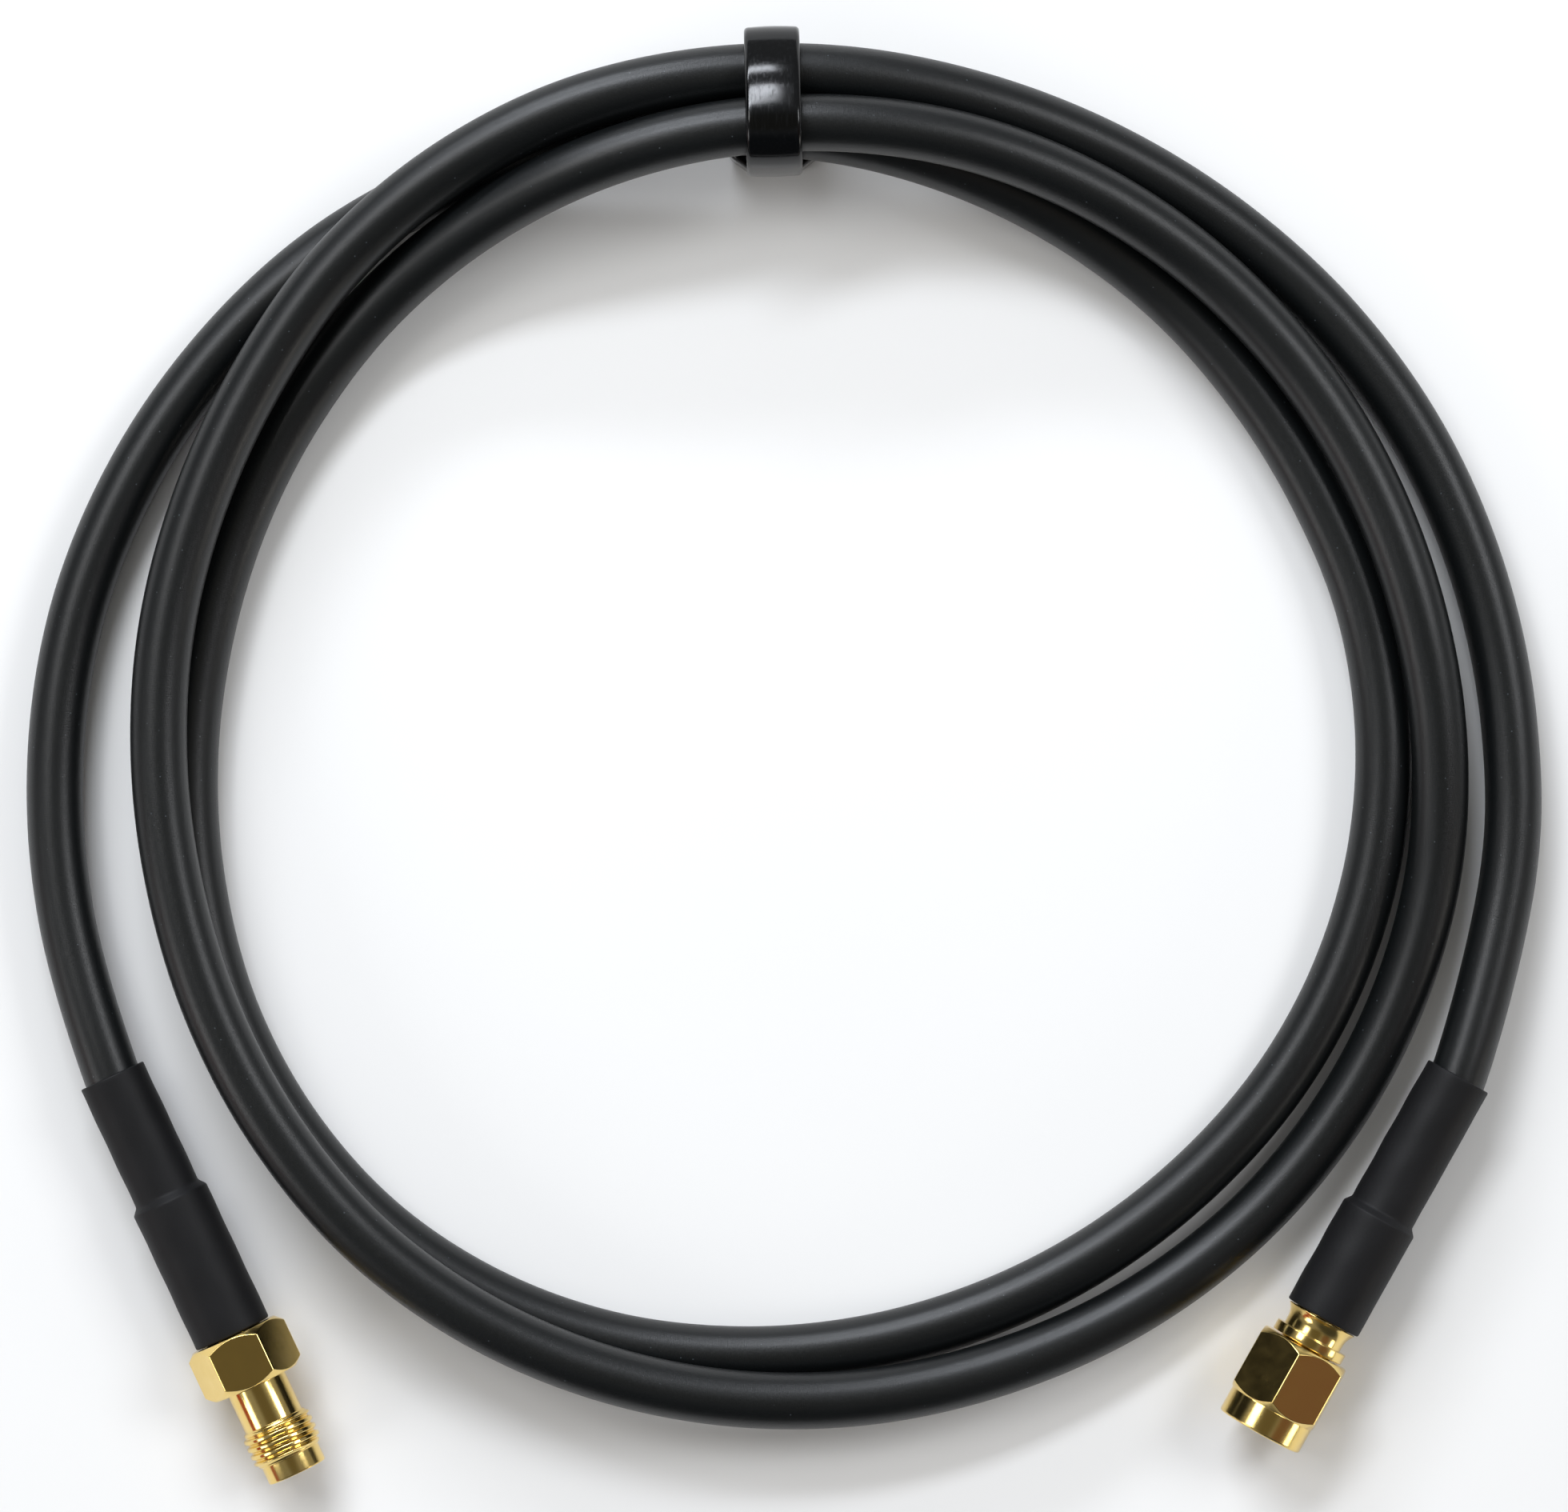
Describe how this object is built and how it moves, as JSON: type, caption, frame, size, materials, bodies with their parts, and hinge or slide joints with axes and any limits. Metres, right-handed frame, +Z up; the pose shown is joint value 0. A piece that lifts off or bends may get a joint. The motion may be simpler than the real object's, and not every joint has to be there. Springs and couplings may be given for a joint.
{
  "type": "coaxial cable assembly coil",
  "caption": "Loose coil of black coaxial cable held by a cable tie, with a gold threaded jack on one end and a gold plug with a turning coupling nut on the other.",
  "frame": {"origin": "on the floor, under the middle of the outline seen from above", "axes": "+Z up from the floor, +Y from the middle of the coil towards the cable tie, +X across the coil towards the plug's side"},
  "size_m": [0.1324, 0.1266, 0.0162],
  "materials": {
    "jacket": "satin black PVC",
    "shrink": "matt black shrunk polyolefin",
    "nylon": "glossy black moulded nylon",
    "gold": "bright gold plating on turned brass",
    "crimp": "plain plated, hidden",
    "insulator": "white"
  },
  "bodies": {
    "cable_assembly": {"coax_cable": "jacket", "cable_tie": "nylon", "jack_heat_shrink": "shrink", "jack_ferrule": "crimp", "jack_body": "gold", "jack_dielectric": "insulator", "jack_contact": "gold", "plug_heat_shrink": "shrink", "plug_ferrule": "crimp", "plug_body": "gold", "plug_dielectric": "insulator", "plug_pin": "gold"},
    "coupling_nut": {"plug_coupling_nut": "gold"}
  },
  "joints": [
    {"name": "coupling_nut_spin", "type": "hinge", "parent": "cable_assembly", "child": "coupling_nut", "pos_m": [0.04367, -0.05502, 0.00462], "axis": [-0.4898, -0.8719, 0], "continuous": true}
  ]
}
